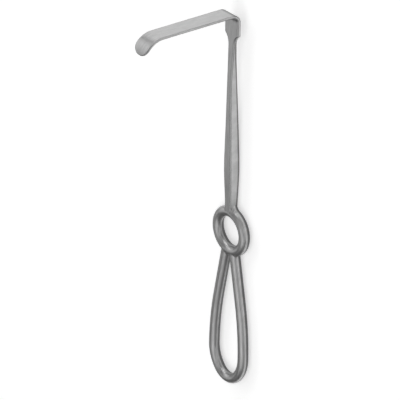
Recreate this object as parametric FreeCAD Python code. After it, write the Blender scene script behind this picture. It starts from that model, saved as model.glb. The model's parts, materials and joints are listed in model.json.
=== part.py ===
import FreeCAD, Part
import math
import os

from FreeCAD import Vector

# A handheld surgical retractor, forged in one piece from stainless steel: a blade at a right angle
# to the handle, a flat plate that carries it, a slim shank that swells towards the hand, a finger
# ring, and a long open loop for the palm.
# It lies as it comes to rest, with the handle on the table and the blade pointing up.
# X runs along the handle towards the blade, Z along the blade, and the part is symmetric about Y = 0.
# Millimetres throughout. Places along the handle are measured from the centre of the finger ring.

# Overall
overall_length = 215.0
butt_length = 90.0             # from the butt of the loop to the centre of the finger ring

# Finger ring
ring_radius = 11.0             # to the middle of the rod
ring_rod = 5.9

# Palm loop: a round end, two shoulders, two long bowed sides and two straight legs
loop_rod = 5.7
loop_half_width = 12.25        # to the middle of the rod
loop_end_radius = 10.0
loop_shoulder_radius = 18.0
loop_leg_angle = 11.6          # degrees between a straight leg and the handle
leg_side = 3.05                # from the mid plane to where the middle of a leg meets the ring

# Blade and the plate that carries it
blade_width = 10.9
plate_thickness = 2.0
plate_front = 2.9              # height of the plate's inner face above the middle of the ring
plate_length = 12.4            # from the blade's outer face down to the plate's shoulders
bend_radius = 5.2              # outer radius of the right-angled bend
blade_thickness = 1.55
blade_straight = 49.6          # height at which the blade starts to curl
curl_radius = 9.8              # inner radius of the curl
curl_angle = 76.0              # degrees
tip_corner = 4.9
hook_bevel = 0.6               # bevel of the edges of blade and plate, on the side of the hook
back_bevel = 0.3               # bevel of their edges on the other side

# Shank, from the plate down to the ring: place, width, height in front, depth behind
shoulder_length = 6.0
neck_width = 4.9
neck_thickness = 2.9
slim_at = 88.0
slim_width = 3.6
slim_front = 3.7
slim_back = 1.0
middle_at = 60.0
middle_width = 4.6
middle_front = 3.8
middle_back = 2.6
swell_at = 36.0
swell_width = 5.8
swell_front = 3.75
swell_back = 3.4
wrist_at = 17.0
wrist_width = 4.8
wrist_front = 3.0
wrist_back = 3.1
front_bevel = 0.55             # bevel of the shank's two front edges
back_edge = 2.4                # rounding of its two back edges
full_round = 0.94              # largest share of a half width or a depth that a rounding takes
seat = 0.06                    # how far the shank's end lies inside the ring's rod

root_hollow = 4.0              # hollow at each side, where the shank grows into the ring
leg_blend = 0.95               # hollow where the loop's legs grow out of the ring
gap_share = 0.57               # largest share of the gap between the legs that this hollow takes
shank_steps = 12
flare_steps = 5
ring_parts = 2

quarter_turn = math.pi / 2
blade_at = overall_length - butt_length
ring_x = butt_length - overall_length / 2
ring_z = max(swell_back, wrist_back, ring_rod / 2, loop_rod / 2)
plate_back = plate_front - plate_thickness
shoulder_at = blade_at - plate_length
neck_at = shoulder_at - shoulder_length
loop_end_at = loop_rod / 2 + loop_end_radius - butt_length
leg_root = (-math.sqrt(ring_radius ** 2 - leg_side ** 2), leg_side)


def point(along, side, height):
    return Vector(ring_x + along, side, ring_z + height)


def arc(centre, radius, start, end, place):
    """An arc from one angle to another, in radians; place makes a point of two coordinates."""
    on_arc = [
        place(centre[0] + radius * math.cos(a), centre[1] + radius * math.sin(a))
        for a in (start, (start + end) / 2, end)
    ]
    return Part.Arc(*on_arc).toShape()


def line(start, end):
    return Part.LineSegment(start, end).toShape()


def linked(edges):
    """The edges in turn, with a straight edge from the end of each to the start of the next."""
    whole = edges[:1]
    for before, edge in zip(edges, edges[1:]):
        whole.append(line(before.valueAt(before.LastParameter), edge.valueAt(edge.FirstParameter)))
        whole.append(edge)
    return whole


def closed(edges):
    """One closed wire of the edges in turn, with a straight edge from each to the next."""
    first, last = edges[0], edges[-1]
    link = line(last.valueAt(last.LastParameter), first.valueAt(first.FirstParameter))
    return Part.Wire(linked(edges) + [link])


def section(along, width, front, back, bevel, back_round):
    """The shank cut across: flat in front and at the sides, bevelled between, and rounder behind."""

    def place(side, height):
        return point(along, side, height)

    half = width / 2
    b = min(back_round, full_round * half, full_round * (front + back - bevel))
    return closed([
        line(place(half - bevel, front), place(half, front - bevel)),
        arc((half - b, b - back), b, 0, -quarter_turn, place),
        arc((b - half, b - back), b, -quarter_turn, -math.pi, place),
        line(place(-half, front - bevel), place(bevel - half, front)),
    ])


def strip():
    """The plate, the bend, the blade and its curl, from their outline on the mid plane."""

    def place(along, height):
        return point(along, -blade_width / 2, height)

    bend_inner = bend_radius - (plate_thickness + blade_thickness) / 2
    blade_inner = blade_at - blade_thickness
    outer_centre = (blade_at - bend_radius, plate_back + bend_radius)
    inner_centre = (blade_inner - bend_inner, plate_front + bend_inner)
    curl_centre = (blade_inner - curl_radius, blade_straight)
    curl_outer = curl_radius + blade_thickness
    curl_turn = math.radians(curl_angle)
    shoulder = line(place(shoulder_at, plate_front), place(shoulder_at, plate_back))
    behind = [
        arc(outer_centre, bend_radius, -quarter_turn, 0, place),
        arc(curl_centre, curl_outer, 0, curl_turn, place),
    ]
    in_hook = [
        arc(curl_centre, curl_radius, curl_turn, 0, place),
        arc(inner_centre, bend_inner, 0, -quarter_turn, place),
    ]
    body = Part.Face(closed([shoulder] + behind + in_hook)).extrude(Vector(0, blade_width, 0))
    body = body.makeFillet(tip_corner, [e for e in body.Edges if is_tip_corner(e)])
    for bevel, side in ((back_bevel, [shoulder] + behind), (hook_bevel, in_hook + [shoulder])):
        seen = Part.Compound(linked(side))
        body = body.makeChamfer(bevel, [e for e in body.Edges if is_rim(e) and lies_on(e, seen)])
    return body


def is_tip_corner(edge):
    """True for the two short edges through the thickness at the blade's tip."""
    ends = [v.Point for v in edge.Vertexes]
    above_straight = min(p.z for p in ends) > ring_z + blade_straight
    through = abs(ends[0].y - ends[-1].y) < seat
    return above_straight and through and edge.Length < 2 * blade_thickness


def lies_on(edge, outline):
    """True if the middle of an edge, seen from the side, lies on that part of the outline."""
    middle = edge.valueAt((edge.FirstParameter + edge.LastParameter) / 2)
    return Part.Vertex(middle.x, -blade_width / 2, middle.z).distToShape(outline)[0] < seat


def is_rim(edge):
    """True for the edges that run round the strip's inner and outer faces."""
    ends = [v.Point for v in edge.Vertexes]
    across = abs(ends[0].y - ends[-1].y) > blade_width - seat
    at_shoulders = max(p.x for p in ends) < ring_x + shoulder_at + seat
    through = edge.Length < blade_thickness + seat and abs(ends[0].y - ends[-1].y) < seat
    return not across and not at_shoulders and not through


def eased(share):
    return share * share * (3 - 2 * share)


def flare(start, end):
    """A stretch whose width grows along a hollow arc, from the end section to the start section.

    Each section is its place, width, front, back, front bevel, and the rounding of its back edges.
    """
    length = abs(start[0] - end[0])
    growth = (start[1] - end[1]) / 2
    hollow = (growth ** 2 + length ** 2) / (2 * growth)
    sections = []
    for n in range(flare_steps + 1):
        share = n / flare_steps
        left = length * (1 - share)
        along = start[0] + (end[0] - start[0]) * share
        width = end[1] + 2 * (hollow - math.sqrt(hollow ** 2 - left ** 2))
        rest = [first + (last - first) * eased(share) for first, last in zip(start[2:], end[2:])]
        sections.append(section(along, width, *rest))
    return Part.makeLoft(sections, True, True)


def shoulders():
    """The plate narrows into the neck, and thickens behind."""
    return flare(
        (shoulder_at, blade_width, plate_front, -plate_back, hook_bevel, back_bevel),
        (neck_at, neck_width, plate_front, neck_thickness - plate_front, front_bevel, back_edge),
    )


def root_horn(side):
    """The hollow beside the shank's root: half a rod, bent from the shank's side round to the ring."""
    edge = wrist_width / 2 - seat
    rod = ring_rod / 2 - seat
    middle = wrist_width / 2 + root_hollow
    reach = ring_radius + rod + root_hollow
    along = math.sqrt(reach ** 2 - middle ** 2)

    def place(across, height):
        return point(along, side * across, height)

    flat = math.acos((rod - edge) / rod)
    skin = arc((edge - rod, 0), rod, -flat, flat, place)
    profile = Part.Face(closed([skin]))
    turn = math.degrees(math.acos(middle / reach))
    return profile.revolve(point(along, side * middle, 0), Vector(0, 0, side), -turn)


def between(stations, along):
    """Width, front and back at a place on the shank, on smooth curves through the stations."""
    last = len(stations) - 1
    slopes = [[0.0] * 3 for station in stations]
    for n in range(1, last):
        run = stations[n + 1][0] - stations[n - 1][0]
        slopes[n] = [(stations[n + 1][k] - stations[n - 1][k]) / run for k in (1, 2, 3)]
    n = max(n for n in range(last) if stations[n][0] >= along - seat)
    run = stations[n + 1][0] - stations[n][0]
    t = (along - stations[n][0]) / run
    sizes = []
    for k in range(3):
        first = stations[n][k + 1]
        change = stations[n + 1][k + 1] - first
        bow = t * (1 - t) * run * (slopes[n][k] * (1 - t) - slopes[n + 1][k] * t)
        sizes.append(first + change * eased(t) + bow)
    return sizes


def shank():
    """Even sections from the neck to the middle of the ring's rod, joined by a skin."""
    root_depth = ring_rod / 2 - seat
    stations = [
        (neck_at, neck_width, plate_front, neck_thickness - plate_front),
        (slim_at, slim_width, slim_front, slim_back),
        (middle_at, middle_width, middle_front, middle_back),
        (swell_at, swell_width, swell_front, swell_back),
        (wrist_at, wrist_width, wrist_front, wrist_back),
        (ring_radius, wrist_width, root_depth, root_depth),
    ]
    sections = []
    for n in range(shank_steps + 1):
        along = neck_at + (ring_radius - neck_at) * n / shank_steps
        sections.append(section(along, *between(stations, along), front_bevel, back_edge))
    return Part.makeLoft(sections, True, True)


def finger_ring():
    """A rod bent to a ring, in equal parts that join end to end."""
    turn = 2 * math.pi / ring_parts
    parts = []
    for n in range(ring_parts):
        start = turn * n + turn / 2
        outward = Vector(math.cos(start), math.sin(start), 0)
        along_rod = Vector(-math.sin(start), math.cos(start), 0)
        rod = Part.Wire(Part.makeCircle(ring_rod / 2, point(0, 0, 0) + outward * ring_radius, along_rod))
        parts.append(Part.Face(rod).revolve(point(0, 0, 0), Vector(0, 0, 1), math.degrees(turn)))
    return parts


def leg_gap():
    """How far apart the skins of the two legs are at the rim of the ring."""
    lean = math.radians(loop_leg_angle)
    in_ring = ring_radius + ring_rod / 2 + leg_root[0]
    return 2 * (leg_side + in_ring * math.tan(lean)) - loop_rod / math.cos(lean)


def palm_loop():
    """A rod swept along tangent arcs round the butt, with two straight legs up to the ring."""
    shift = loop_shoulder_radius - loop_end_radius
    lift = loop_shoulder_radius - loop_half_width
    turn = math.asin(lift / shift)
    wide_at = loop_end_at + shift * math.cos(turn)
    # The bowed side touches the shoulder where the loop is widest, and the leg where it ends
    lean = math.radians(loop_leg_angle)
    outward = (leg_root[0] - wide_at) * math.sin(lean) - (loop_half_width - leg_side) * math.cos(lean)
    side_radius = outward / (1 - math.cos(lean))
    side_centre = (wide_at, loop_half_width - side_radius)
    touch = quarter_turn - lean

    def right(along, across):
        return point(along, across, 0)

    def left(along, across):
        return point(along, -across, 0)

    path = [arc((loop_end_at, 0), loop_end_radius, math.pi - turn, math.pi + turn, right)]
    for place in (right, left):
        side = arc(side_centre, side_radius, touch, quarter_turn, place)
        path.append(line(place(*leg_root), side.valueAt(side.FirstParameter)))
        path.append(side)
        path.append(arc((wide_at, -lift), loop_shoulder_radius, quarter_turn, math.pi - turn, place))
    spine = Part.Wire(Part.sortEdges(path)[0])
    along_leg = Vector(-math.cos(lean), math.sin(lean), 0)
    rod = Part.Wire(Part.makeCircle(loop_rod / 2, right(*leg_root), along_leg))
    return spine.makePipeShell([rod], True, False)


def is_crotch(edge):
    """True for the edges where the skin of a leg meets the skin of the ring."""
    box = edge.BoundBox
    low = ring_x - ring_radius - ring_rod
    return edge.Curve.TypeId == "Part::GeomBSplineCurve" and box.XMin > low and box.XMax < ring_x


def retractor():
    body = strip().fuse([shoulders(), shank(), root_horn(1), root_horn(-1), palm_loop()] + finger_ring())
    body = body.Solids[0]
    blend = min(leg_blend, gap_share * leg_gap())
    return body.makeFillet(blend, [e for e in body.Edges if is_crotch(e)])


os.makedirs("parts", exist_ok=True)
shape = retractor()
shape.exportStep("parts/retractor.step")
box = shape.BoundBox
print("retractor: %d solid, %.0f mm3, %.1f x %.1f x %.1f mm" % (
    len(shape.Solids), shape.Volume, box.XLength, box.YLength, box.ZLength))
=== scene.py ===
# %% [markdown]
# # A hand retractor in satin steel
# The retractor is one piece of forged stainless steel. Its shape comes ready made in the
# frame, in metres, with the handle along X and the blade standing up along Z. This lesson
# gives it its finish, a floor, soft light and the photograph's view.

# %% Frame
import json
from math import cos, radians, sin

import bpy
from mathutils import Matrix, Vector

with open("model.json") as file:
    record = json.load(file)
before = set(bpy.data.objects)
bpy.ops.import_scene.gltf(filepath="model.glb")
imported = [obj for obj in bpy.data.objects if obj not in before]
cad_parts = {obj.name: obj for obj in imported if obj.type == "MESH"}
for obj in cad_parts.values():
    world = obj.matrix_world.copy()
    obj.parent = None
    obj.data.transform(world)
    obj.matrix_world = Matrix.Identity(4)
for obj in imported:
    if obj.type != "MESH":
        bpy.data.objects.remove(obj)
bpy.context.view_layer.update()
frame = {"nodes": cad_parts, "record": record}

# %% [markdown]
# ## The view
# The photograph was taken with a long lens from well over a metre away, so the two legs of
# the loop look almost parallel. A camera can be placed by hand and turned until it fits,
# but here three angles say it all: how far the handle is rolled about its own length, how
# far its blade end leans towards the lens, and a small tilt of the picture. The picture's
# right, up and near directions follow from them, and turn the camera.

# %% Directions of the picture
handle_roll = radians(37.95)
blade_end_lean = radians(27.24)
picture_tilt = radians(1.0)

near = Vector((sin(blade_end_lean),
               -cos(handle_roll) * cos(blade_end_lean),
               sin(handle_roll) * cos(blade_end_lean)))
level_right = Vector((0, -sin(handle_roll), -cos(handle_roll)))
level_up = near.cross(level_right)
right = cos(picture_tilt) * level_right + sin(picture_tilt) * level_up
up = cos(picture_tilt) * level_up - sin(picture_tilt) * level_right
print("towards the camera:", tuple(round(value, 3) for value in near))

# %% [markdown]
# ## The camera
# The camera aims past the finger ring, whose place the frame gives as a mount. Two more
# measures fit the outline: how many pixels a metre fills at the ring, and where the ring
# lies in the picture. The lens follows from them and the distance, so that moving the
# camera nearer changes the perspective and not the size.

# %% Camera
mounts = {mount["name"]: mount for mount in frame["record"]["mounts"]}
ring_centre = Vector(mounts["finger_ring"]["pos_m"])
picture_width = 400
pixels_per_metre = 1932
lens_distance = 3500 / pixels_per_metre
ring_right_of_middle = 31.20 / pixels_per_metre
ring_below_middle = 30.65 / pixels_per_metre
sensor_width = 36

camera_data = bpy.data.cameras.new("camera")
camera_data.sensor_width = sensor_width
camera_data.lens = sensor_width * lens_distance * pixels_per_metre / picture_width
camera = bpy.data.objects.new("camera", camera_data)
place = (ring_centre + lens_distance * near
         - ring_right_of_middle * right + ring_below_middle * up)
turn = Matrix((right, up, near)).transposed()
camera.matrix_world = Matrix.Translation(place) @ turn.to_4x4()
bpy.context.scene.collection.objects.link(camera)
bpy.context.scene.camera = camera
bpy.context.scene.view_settings.view_transform = "Standard"
print("lens:", round(camera_data.lens, 1), "mm, distance:", round(lens_distance, 3), "m")

# %% [markdown]
# ## Node helpers
# Every finish below is a small tree of nodes. Two helpers keep the trees short: one adds a
# node with its settings, the other starts a group with its inputs and outputs. A group is a
# tree that is built once and used like a single node.

# %% Helpers for node trees
def add_node(tree, kind, inputs=None, **settings):
    node = tree.nodes.new(kind)
    for name, value in settings.items():
        setattr(node, name, value)
    for name, value in (inputs or {}).items():
        node.inputs[name].default_value = value
    return node


def new_group(name, inputs, outputs):
    tree = bpy.data.node_groups.new(name, "ShaderNodeTree")
    for label, kind, value in inputs:
        socket = tree.interface.new_socket(label, in_out="INPUT", socket_type=kind)
        socket.default_value = value
    for label, kind in outputs:
        tree.interface.new_socket(label, in_out="OUTPUT", socket_type=kind)
    return tree, tree.nodes.new("NodeGroupInput"), tree.nodes.new("NodeGroupOutput")


# %% [markdown]
# ## Brushed grain
# The steel was finished on a belt, which leaves hair-fine lines along the part. A picture
# of scratches would need unwrapping, so the lines are noise that is stretched: the place on
# the part is squeezed along X and Z, the ways the belt ran, before it goes into the noise.
# It is a group, because the colour, the roughness and the bump all use the same lines.

# %% Brushed grain group
grain_stretch = (0.06, 1, 0.06)
grain_fineness = 2500
grain_octaves = 4
finer_share = 0.6


def brushed_grain_group():
    tree, entry, result = new_group(
        "brushed_grain",
        [("Stretch", "NodeSocketVector", grain_stretch),
         ("Fineness", "NodeSocketFloat", grain_fineness)],
        [("Lines", "NodeSocketFloat")])
    place = add_node(tree, "ShaderNodeTexCoord")
    squeeze = add_node(tree, "ShaderNodeVectorMath", operation="MULTIPLY")
    noise = add_node(tree, "ShaderNodeTexNoise",
                     {"Detail": grain_octaves, "Roughness": finer_share})
    tree.links.new(place.outputs["Object"], squeeze.inputs[0])
    tree.links.new(entry.outputs["Stretch"], squeeze.inputs[1])
    tree.links.new(squeeze.outputs["Vector"], noise.inputs["Vector"])
    tree.links.new(entry.outputs["Fineness"], noise.inputs["Scale"])
    tree.links.new(noise.outputs["Fac"], result.inputs["Lines"])
    return tree


brushed_grain = brushed_grain_group()
print("group:", brushed_grain.name, "noise cells per metre:", grain_fineness)

# %% [markdown]
# ## Softened edges and a painted dark line
# On the real part the belt and the tumbling barrel have rounded every edge, and a rounded
# edge mirrors the dark parts of the room as a fine dark line. The shape has only small
# bevels there. Blender's Bevel node looks round each point and gives a normal that turns
# smoothly over an edge. That normal rounds the edge to the eye. How far it differs from
# the surface's own normal is the mask for a painted reflection: the colour is darkened
# there to draw the dark line. A real fillet would add thousands of faces to get the same
# look.

# %% Soft edges and painted line group
edge_radius = 0.0007
edge_starts_at = 0.004
edge_full_at = 0.06
edge_rays = 6


def rounded_and_painted_edges_group():
    tree, entry, result = new_group(
        "rounded_and_painted_edges",
        [("Radius", "NodeSocketFloat", edge_radius),
         ("Full At", "NodeSocketFloat", edge_full_at)],
        [("Painted Line", "NodeSocketFloat"), ("Normal", "NodeSocketVector")])
    rounded = add_node(tree, "ShaderNodeBevel", samples=edge_rays)
    surface = add_node(tree, "ShaderNodeNewGeometry")
    likeness = add_node(tree, "ShaderNodeVectorMath", operation="DOT_PRODUCT")
    difference = add_node(tree, "ShaderNodeMath", {0: 1}, operation="SUBTRACT")
    mask = add_node(tree, "ShaderNodeMapRange", {"From Min": edge_starts_at})
    tree.links.new(entry.outputs["Radius"], rounded.inputs["Radius"])
    tree.links.new(rounded.outputs["Normal"], likeness.inputs[0])
    tree.links.new(surface.outputs["Normal"], likeness.inputs[1])
    tree.links.new(likeness.outputs["Value"], difference.inputs[1])
    tree.links.new(difference.outputs["Value"], mask.inputs["Value"])
    tree.links.new(entry.outputs["Full At"], mask.inputs["From Max"])
    # This mask marks where the colour gets a painted dark line, a reflection drawn into the
    # colour.
    tree.links.new(mask.outputs["Result"], result.inputs["Painted Line"])
    tree.links.new(rounded.outputs["Normal"], result.inputs["Normal"])
    return tree


rounded_and_painted_edges = rounded_and_painted_edges_group()
print("group:", rounded_and_painted_edges.name, "radius:", round(1000 * edge_radius, 2), "mm")

# %% [markdown]
# ## Painted shade underneath
# Painted shade: the colour is darkened where the surface faces down, as if shade from the
# floor lay under the rods and the shank. In the hand's part, the ring and the loop, the
# painted shade comes further up the sides. The mask reads how far the surface faces down,
# adds a rise that grows along X from the shank into the ring, and is full where the two
# come to 0.3.

# %% Painted shade underneath group
full_underside = 0.3
rise_in_hand = 0.2
rise_starts_at_x = 0.01
rise_full_at_x = -0.02


def painted_shade_below_group():
    tree, entry, result = new_group(
        "painted_shade_below",
        [("Full At", "NodeSocketFloat", full_underside),
         ("Rise In Hand", "NodeSocketFloat", rise_in_hand)],
        [("Under", "NodeSocketFloat")])
    place = add_node(tree, "ShaderNodeTexCoord")
    facing = add_node(tree, "ShaderNodeSeparateXYZ")
    along = add_node(tree, "ShaderNodeSeparateXYZ")
    in_hand = add_node(tree, "ShaderNodeMapRange",
                       {"From Min": rise_starts_at_x, "From Max": rise_full_at_x})
    rise = add_node(tree, "ShaderNodeMath", operation="MULTIPLY")
    downwards = add_node(tree, "ShaderNodeMath", operation="SUBTRACT")
    # This mask marks painted shade: it grows where the surface faces down, and more in the
    # ring and loop.
    mask = add_node(tree, "ShaderNodeMapRange")
    tree.links.new(place.outputs["Normal"], facing.inputs["Vector"])
    tree.links.new(place.outputs["Object"], along.inputs["Vector"])
    tree.links.new(along.outputs["X"], in_hand.inputs["Value"])
    tree.links.new(in_hand.outputs["Result"], rise.inputs[0])
    tree.links.new(entry.outputs["Rise In Hand"], rise.inputs[1])
    tree.links.new(rise.outputs["Value"], downwards.inputs[0])
    tree.links.new(facing.outputs["Z"], downwards.inputs[1])
    tree.links.new(downwards.outputs["Value"], mask.inputs["Value"])
    tree.links.new(entry.outputs["Full At"], mask.inputs["From Max"])
    tree.links.new(mask.outputs["Result"], result.inputs["Under"])
    return tree


painted_shade_below = painted_shade_below_group()
print("group:", painted_shade_below.name, "rise in the hand:", rise_in_hand)

# %% [markdown]
# ## Satin steel
# Stainless steel is a metal with a neutral grey colour. Satin means that it mirrors the
# studio softly, so its roughness is about a third on the ridges of the grain, and more in
# its troughs, which are also a little darker. Two painted darkenings follow: a painted dark
# reflection along the edges and painted shade on the underside. The grain's bump starts
# from the rounded normal of the edges, so that the two don't fight over the shading.

# %% Satin steel values
lines_range = (0.3, 0.7)
grey_range = (0.42, 0.54)
roughness_range = (0.42, 0.32)
bump_strength = 0.15
bump_depth = 0.0001
# The edge factor darkens the colour along the edges: a painted dark reflection of the room.
painted_line_factor = 0.42
# The underside factor darkens the colour where the surface faces down: painted shade.
painted_shade_below_factor = 0.25
print("grey:", grey_range, "roughness:", roughness_range)

# %% Satin steel material
def spread_lines(tree, lines, limits):
    spread = add_node(tree, "ShaderNodeMapRange",
                      {"From Min": lines_range[0], "From Max": lines_range[1],
                       "To Min": limits[0], "To Max": limits[1]})
    tree.links.new(lines, spread.inputs["Value"])
    return spread.outputs["Result"]


def darker_where(tree, colour, mask, factor):
    step = add_node(tree, "ShaderNodeMapRange", {"To Min": 1, "To Max": factor})
    product = add_node(tree, "ShaderNodeMath", operation="MULTIPLY")
    tree.links.new(mask, step.inputs["Value"])
    tree.links.new(colour, product.inputs[0])
    tree.links.new(step.outputs["Result"], product.inputs[1])
    return product.outputs["Value"]


def satin_steel():
    material = bpy.data.materials.new("satin_steel_finish")
    material.use_nodes = True
    tree = material.node_tree
    shader = tree.nodes["Principled BSDF"]
    shader.inputs["Metallic"].default_value = 1
    grain = add_node(tree, "ShaderNodeGroup", node_tree=brushed_grain)
    edges = add_node(tree, "ShaderNodeGroup", node_tree=rounded_and_painted_edges)
    under = add_node(tree, "ShaderNodeGroup", node_tree=painted_shade_below)
    bump = add_node(tree, "ShaderNodeBump",
                    {"Strength": bump_strength, "Distance": bump_depth})
    lines = grain.outputs["Lines"]
    tree.links.new(lines, bump.inputs["Height"])
    tree.links.new(edges.outputs["Normal"], bump.inputs["Normal"])
    grey = spread_lines(tree, lines, grey_range)
    # Painted reflection: the colour is darker along the edges, drawing the dark line a
    # rounded edge would mirror.
    grey = darker_where(tree, grey, edges.outputs["Painted Line"], painted_line_factor)
    # Painted shade: the colour is darker where the surface faces down, and more so in the
    # ring and the loop.
    grey = darker_where(tree, grey, under.outputs["Under"], painted_shade_below_factor)
    tree.links.new(grey, shader.inputs["Base Color"])
    tree.links.new(spread_lines(tree, lines, roughness_range), shader.inputs["Roughness"])
    tree.links.new(bump.outputs["Normal"], shader.inputs["Normal"])
    return material


steel = satin_steel()
retractor = frame["nodes"]["retractor"]
for slot in retractor.material_slots:
    slot.material = steel
print("slots:", [slot.material.name for slot in retractor.material_slots],
      "faces:", len(retractor.data.polygons))

# %% [markdown]
# ## White floor
# The photograph has a plain white ground. A diffuse floor alone would need so much light
# that the steel turned white too. So the floor is a pale diffuse one that adds a little
# light of its own wherever the camera, or a reflection, looks at it. The diffuse share
# still takes the part's soft shadow, which makes it lie on the floor and not float.

# %% Floor material
floor_colour = (0.9, 0.9, 0.9, 1)
floor_glow = 0.52


def floor_material():
    material = bpy.data.materials.new("white_floor")
    material.use_nodes = True
    tree = material.node_tree
    tree.nodes.clear()
    end = add_node(tree, "ShaderNodeOutputMaterial")
    diffuse = add_node(tree, "ShaderNodeBsdfDiffuse", {"Color": floor_colour})
    glow = add_node(tree, "ShaderNodeEmission")
    both = add_node(tree, "ShaderNodeAddShader")
    path = add_node(tree, "ShaderNodeLightPath")
    seen = add_node(tree, "ShaderNodeMath", operation="MAXIMUM")
    seen_all = add_node(tree, "ShaderNodeMath", operation="MAXIMUM")
    strength = add_node(tree, "ShaderNodeMath", {1: floor_glow}, operation="MULTIPLY")
    tree.links.new(path.outputs["Is Camera Ray"], seen.inputs[0])
    tree.links.new(path.outputs["Is Glossy Ray"], seen.inputs[1])
    tree.links.new(seen.outputs["Value"], seen_all.inputs[0])
    tree.links.new(path.outputs["Is Transmission Ray"], seen_all.inputs[1])
    tree.links.new(seen_all.outputs["Value"], strength.inputs[0])
    tree.links.new(strength.outputs["Value"], glow.inputs["Strength"])
    tree.links.new(diffuse.outputs["BSDF"], both.inputs[0])
    tree.links.new(glow.outputs["Emission"], both.inputs[1])
    tree.links.new(both.outputs["Shader"], end.inputs["Surface"])
    return material


print("floor colour:", floor_colour, "glow:", floor_glow)

# %% Floor
floor_half = 4
floor_mesh = bpy.data.meshes.new("floor")
floor_mesh.from_pydata([(-floor_half, -floor_half, 0), (floor_half, -floor_half, 0),
                        (floor_half, floor_half, 0), (-floor_half, floor_half, 0)],
                       [], [(0, 1, 2, 3)])
floor_mesh.materials.append(floor_material())
floor = bpy.data.objects.new("floor", floor_mesh)
bpy.context.scene.collection.objects.link(floor)
print("floor:", 2 * floor_half, "m wide")

# %% [markdown]
# ## Softboxes
# Steel shows what stands round it, so the lamps are large soft rectangles, as in a product
# studio, and their places decide where the rods shine. Each is placed by two angles, round
# the part from the blade's end and up from the floor, and is turned to look at the middle
# of the part. A rod mirrors a whole ring of places, so one lamp gives one bright line along
# it, and several lamps side by side melt into a broad sheen. The strongest stands low at
# the blade's end, because the blade is the brightest part in the photograph.

# %% One softbox
lamp_distance = 1.1


def softbox(name, round_part, above_floor, size, power):
    lamp = bpy.data.lights.new(name, "AREA")
    lamp.shape = "RECTANGLE"
    lamp.size, lamp.size_y = size
    lamp.energy = power
    holder = bpy.data.objects.new(name, lamp)
    towards = Vector((cos(radians(above_floor)) * cos(radians(round_part)),
                      cos(radians(above_floor)) * sin(radians(round_part)),
                      sin(radians(above_floor))))
    holder.location = lamp_distance * towards
    holder.rotation_euler = towards.to_track_quat("Z", "Y").to_euler()
    bpy.context.scene.collection.objects.link(holder)
    print(name, "at", tuple(round(value, 2) for value in holder.location), power, "W")


print("softboxes stand", lamp_distance, "m from the part")

# %% [markdown]
# ## Where the softboxes stand
# The one above the butt gives the rods of the loop their bright line. The high and the low
# one on the near side light the shank's side and the right-hand rod. The one at the blade's
# end and the one between it and the far side light the blade. The one on the far side
# lights the plate and the front of the shank, and the other two are there to fill in.

# %% Softbox places
large = (0.9, 0.9)
medium = (0.7, 0.7)
wide = (0.9, 0.5)
low_and_wide = (0.9, 0.4)

softbox("above_butt", 190, 66, large, 1.9)
softbox("above_blade", 330, 70, large, 1.0)
softbox("near_high", 232, 45, medium, 0.9)
softbox("near_low", 270, 14, low_and_wide, 0.9)
softbox("near_blade", 300, 35, wide, 1.0)
softbox("blade_end", 10, 18, wide, 2.9)
softbox("far_blade", 60, 30, wide, 1.6)
softbox("far_side", 100, 36, wide, 1.0)

# %% [markdown]
# ## The room
# Between the softboxes the steel mirrors the room. A dim even world stands for it: too
# bright and the steel looks like plastic, too dark and its shadows turn black.

# %% World
room_light = 0.13
world = bpy.data.worlds.new("studio")
world.use_nodes = True
backdrop = world.node_tree.nodes["Background"]
backdrop.inputs["Color"].default_value = (1, 1, 1, 1)
backdrop.inputs["Strength"].default_value = room_light
bpy.context.scene.world = world
print("world strength:", room_light)
